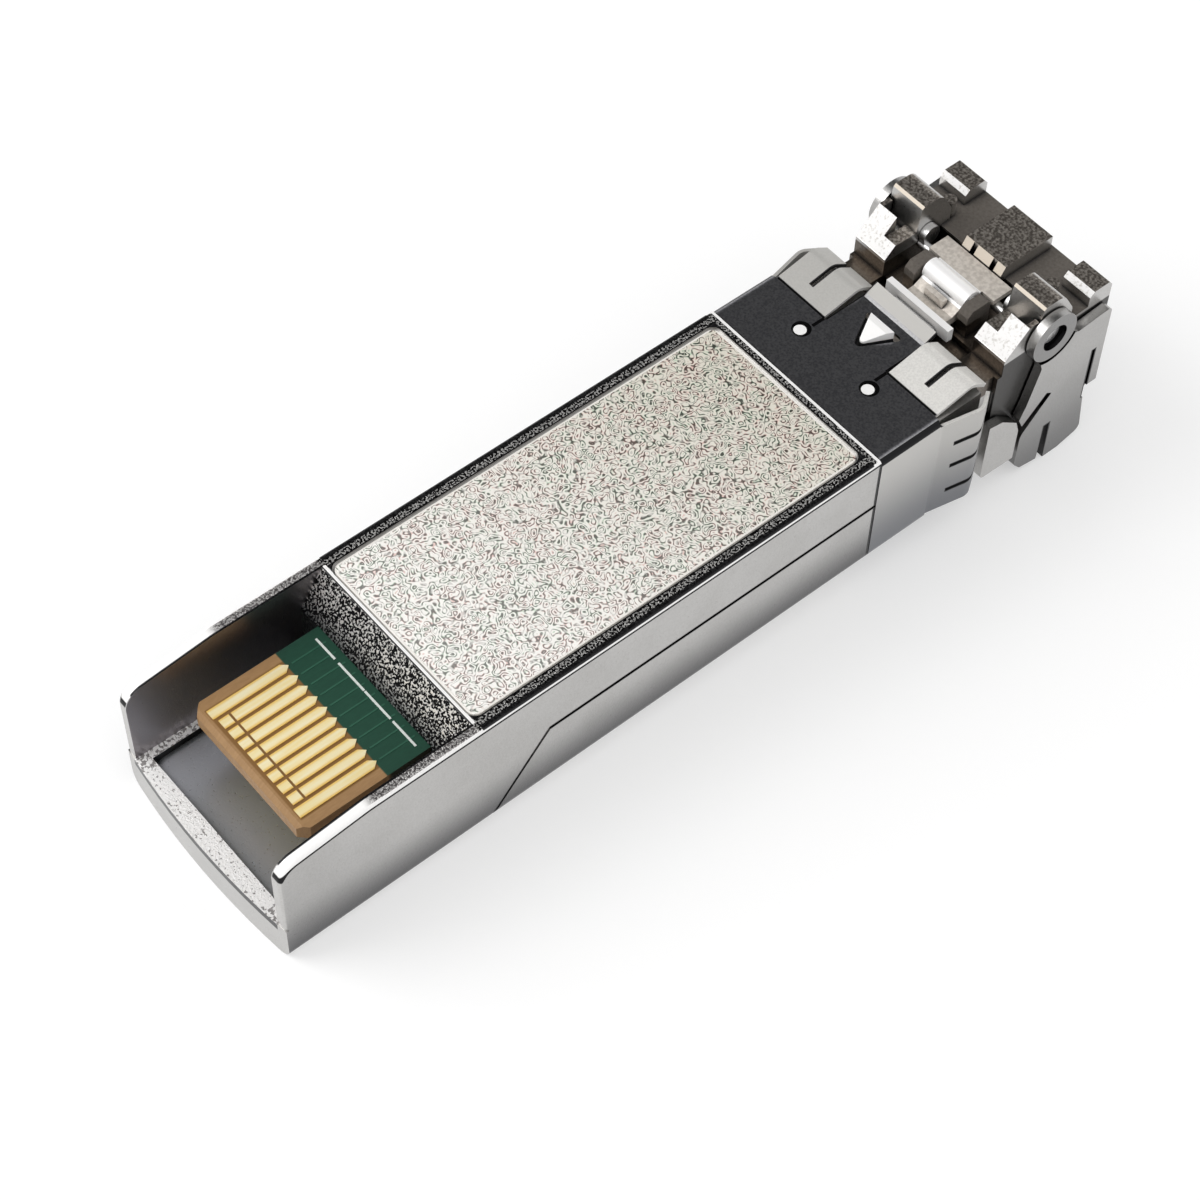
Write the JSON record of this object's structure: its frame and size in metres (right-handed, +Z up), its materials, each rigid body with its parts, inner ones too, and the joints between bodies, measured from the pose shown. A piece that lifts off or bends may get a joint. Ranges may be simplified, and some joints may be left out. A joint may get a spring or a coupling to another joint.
{
  "type": "pluggable optical transceiver",
  "caption": "Slim plated metal plug-in optical transceiver with an open card-edge connector end, a sprung collar, a latch wedge, a swinging bail and fibre plug ports in its nose.",
  "frame": {"origin": "bottom centre of the bounding box, under the bail's handle", "axes": "+X from the connector end to the nose, +Z up out of the latch face, +Y across"},
  "size_m": [0.0564, 0.0144, 0.0133],
  "materials": {
    "cast_nickel": "satin plated casting",
    "spring_sheet": "plated spring sheet",
    "lever_steel": "matt plated",
    "turned_steel": "turned",
    "receptacle_steel": "turned",
    "green_board": "green solder mask",
    "gold": "gold plated",
    "amber_film": "amber film",
    "black_package": "moulded",
    "tan_ceramic": "fired ceramic",
    "grey_pad": "soft pad"
  },
  "bodies": {
    "housing": {"base_shell": "cast_nickel", "cover_shell": "cast_nickel", "nose_housing": "cast_nickel", "emi_collar": "spring_sheet", "latch_spring": "spring_sheet", "lever_pivot_pin": "turned_steel", "optics_clamp": "turned_steel", "transmitter_can": "turned_steel", "receiver_can": "turned_steel", "transmitter_receptacle": "receptacle_steel", "receiver_receptacle": "receptacle_steel", "circuit_board": "green_board", "upper_contacts": "gold", "lower_contacts": "gold", "transmitter_flex": "amber_film", "receiver_flex": "amber_film", "driver_chip": "black_package", "amplifier_chip": "black_package", "controller_chip": "black_package", "memory_chip": "black_package", "capacitors": "tan_ceramic", "thermal_pad": "grey_pad"},
    "bail": {"bail": "cast_nickel", "bail_pivots": "turned_steel"},
    "latch": {"latch_lever": "lever_steel"}
  },
  "joints": [
    {"name": "bail_swing", "type": "hinge", "parent": "housing", "child": "bail", "pos_m": [0.02335, 0, 0.0112], "axis": [0, -1, 0], "range_deg": [0, 90]},
    {"name": "latch_rock", "type": "hinge", "parent": "housing", "child": "latch", "pos_m": [0.02185, 0, 0.01095], "axis": [0, -1, 0], "range_deg": [0, 7], "deforming": ["latch_spring"]}
  ],
  "couplings": [
    {"joint": "latch_rock", "follows": "bail_swing", "ratio": 0.0777}
  ]
}
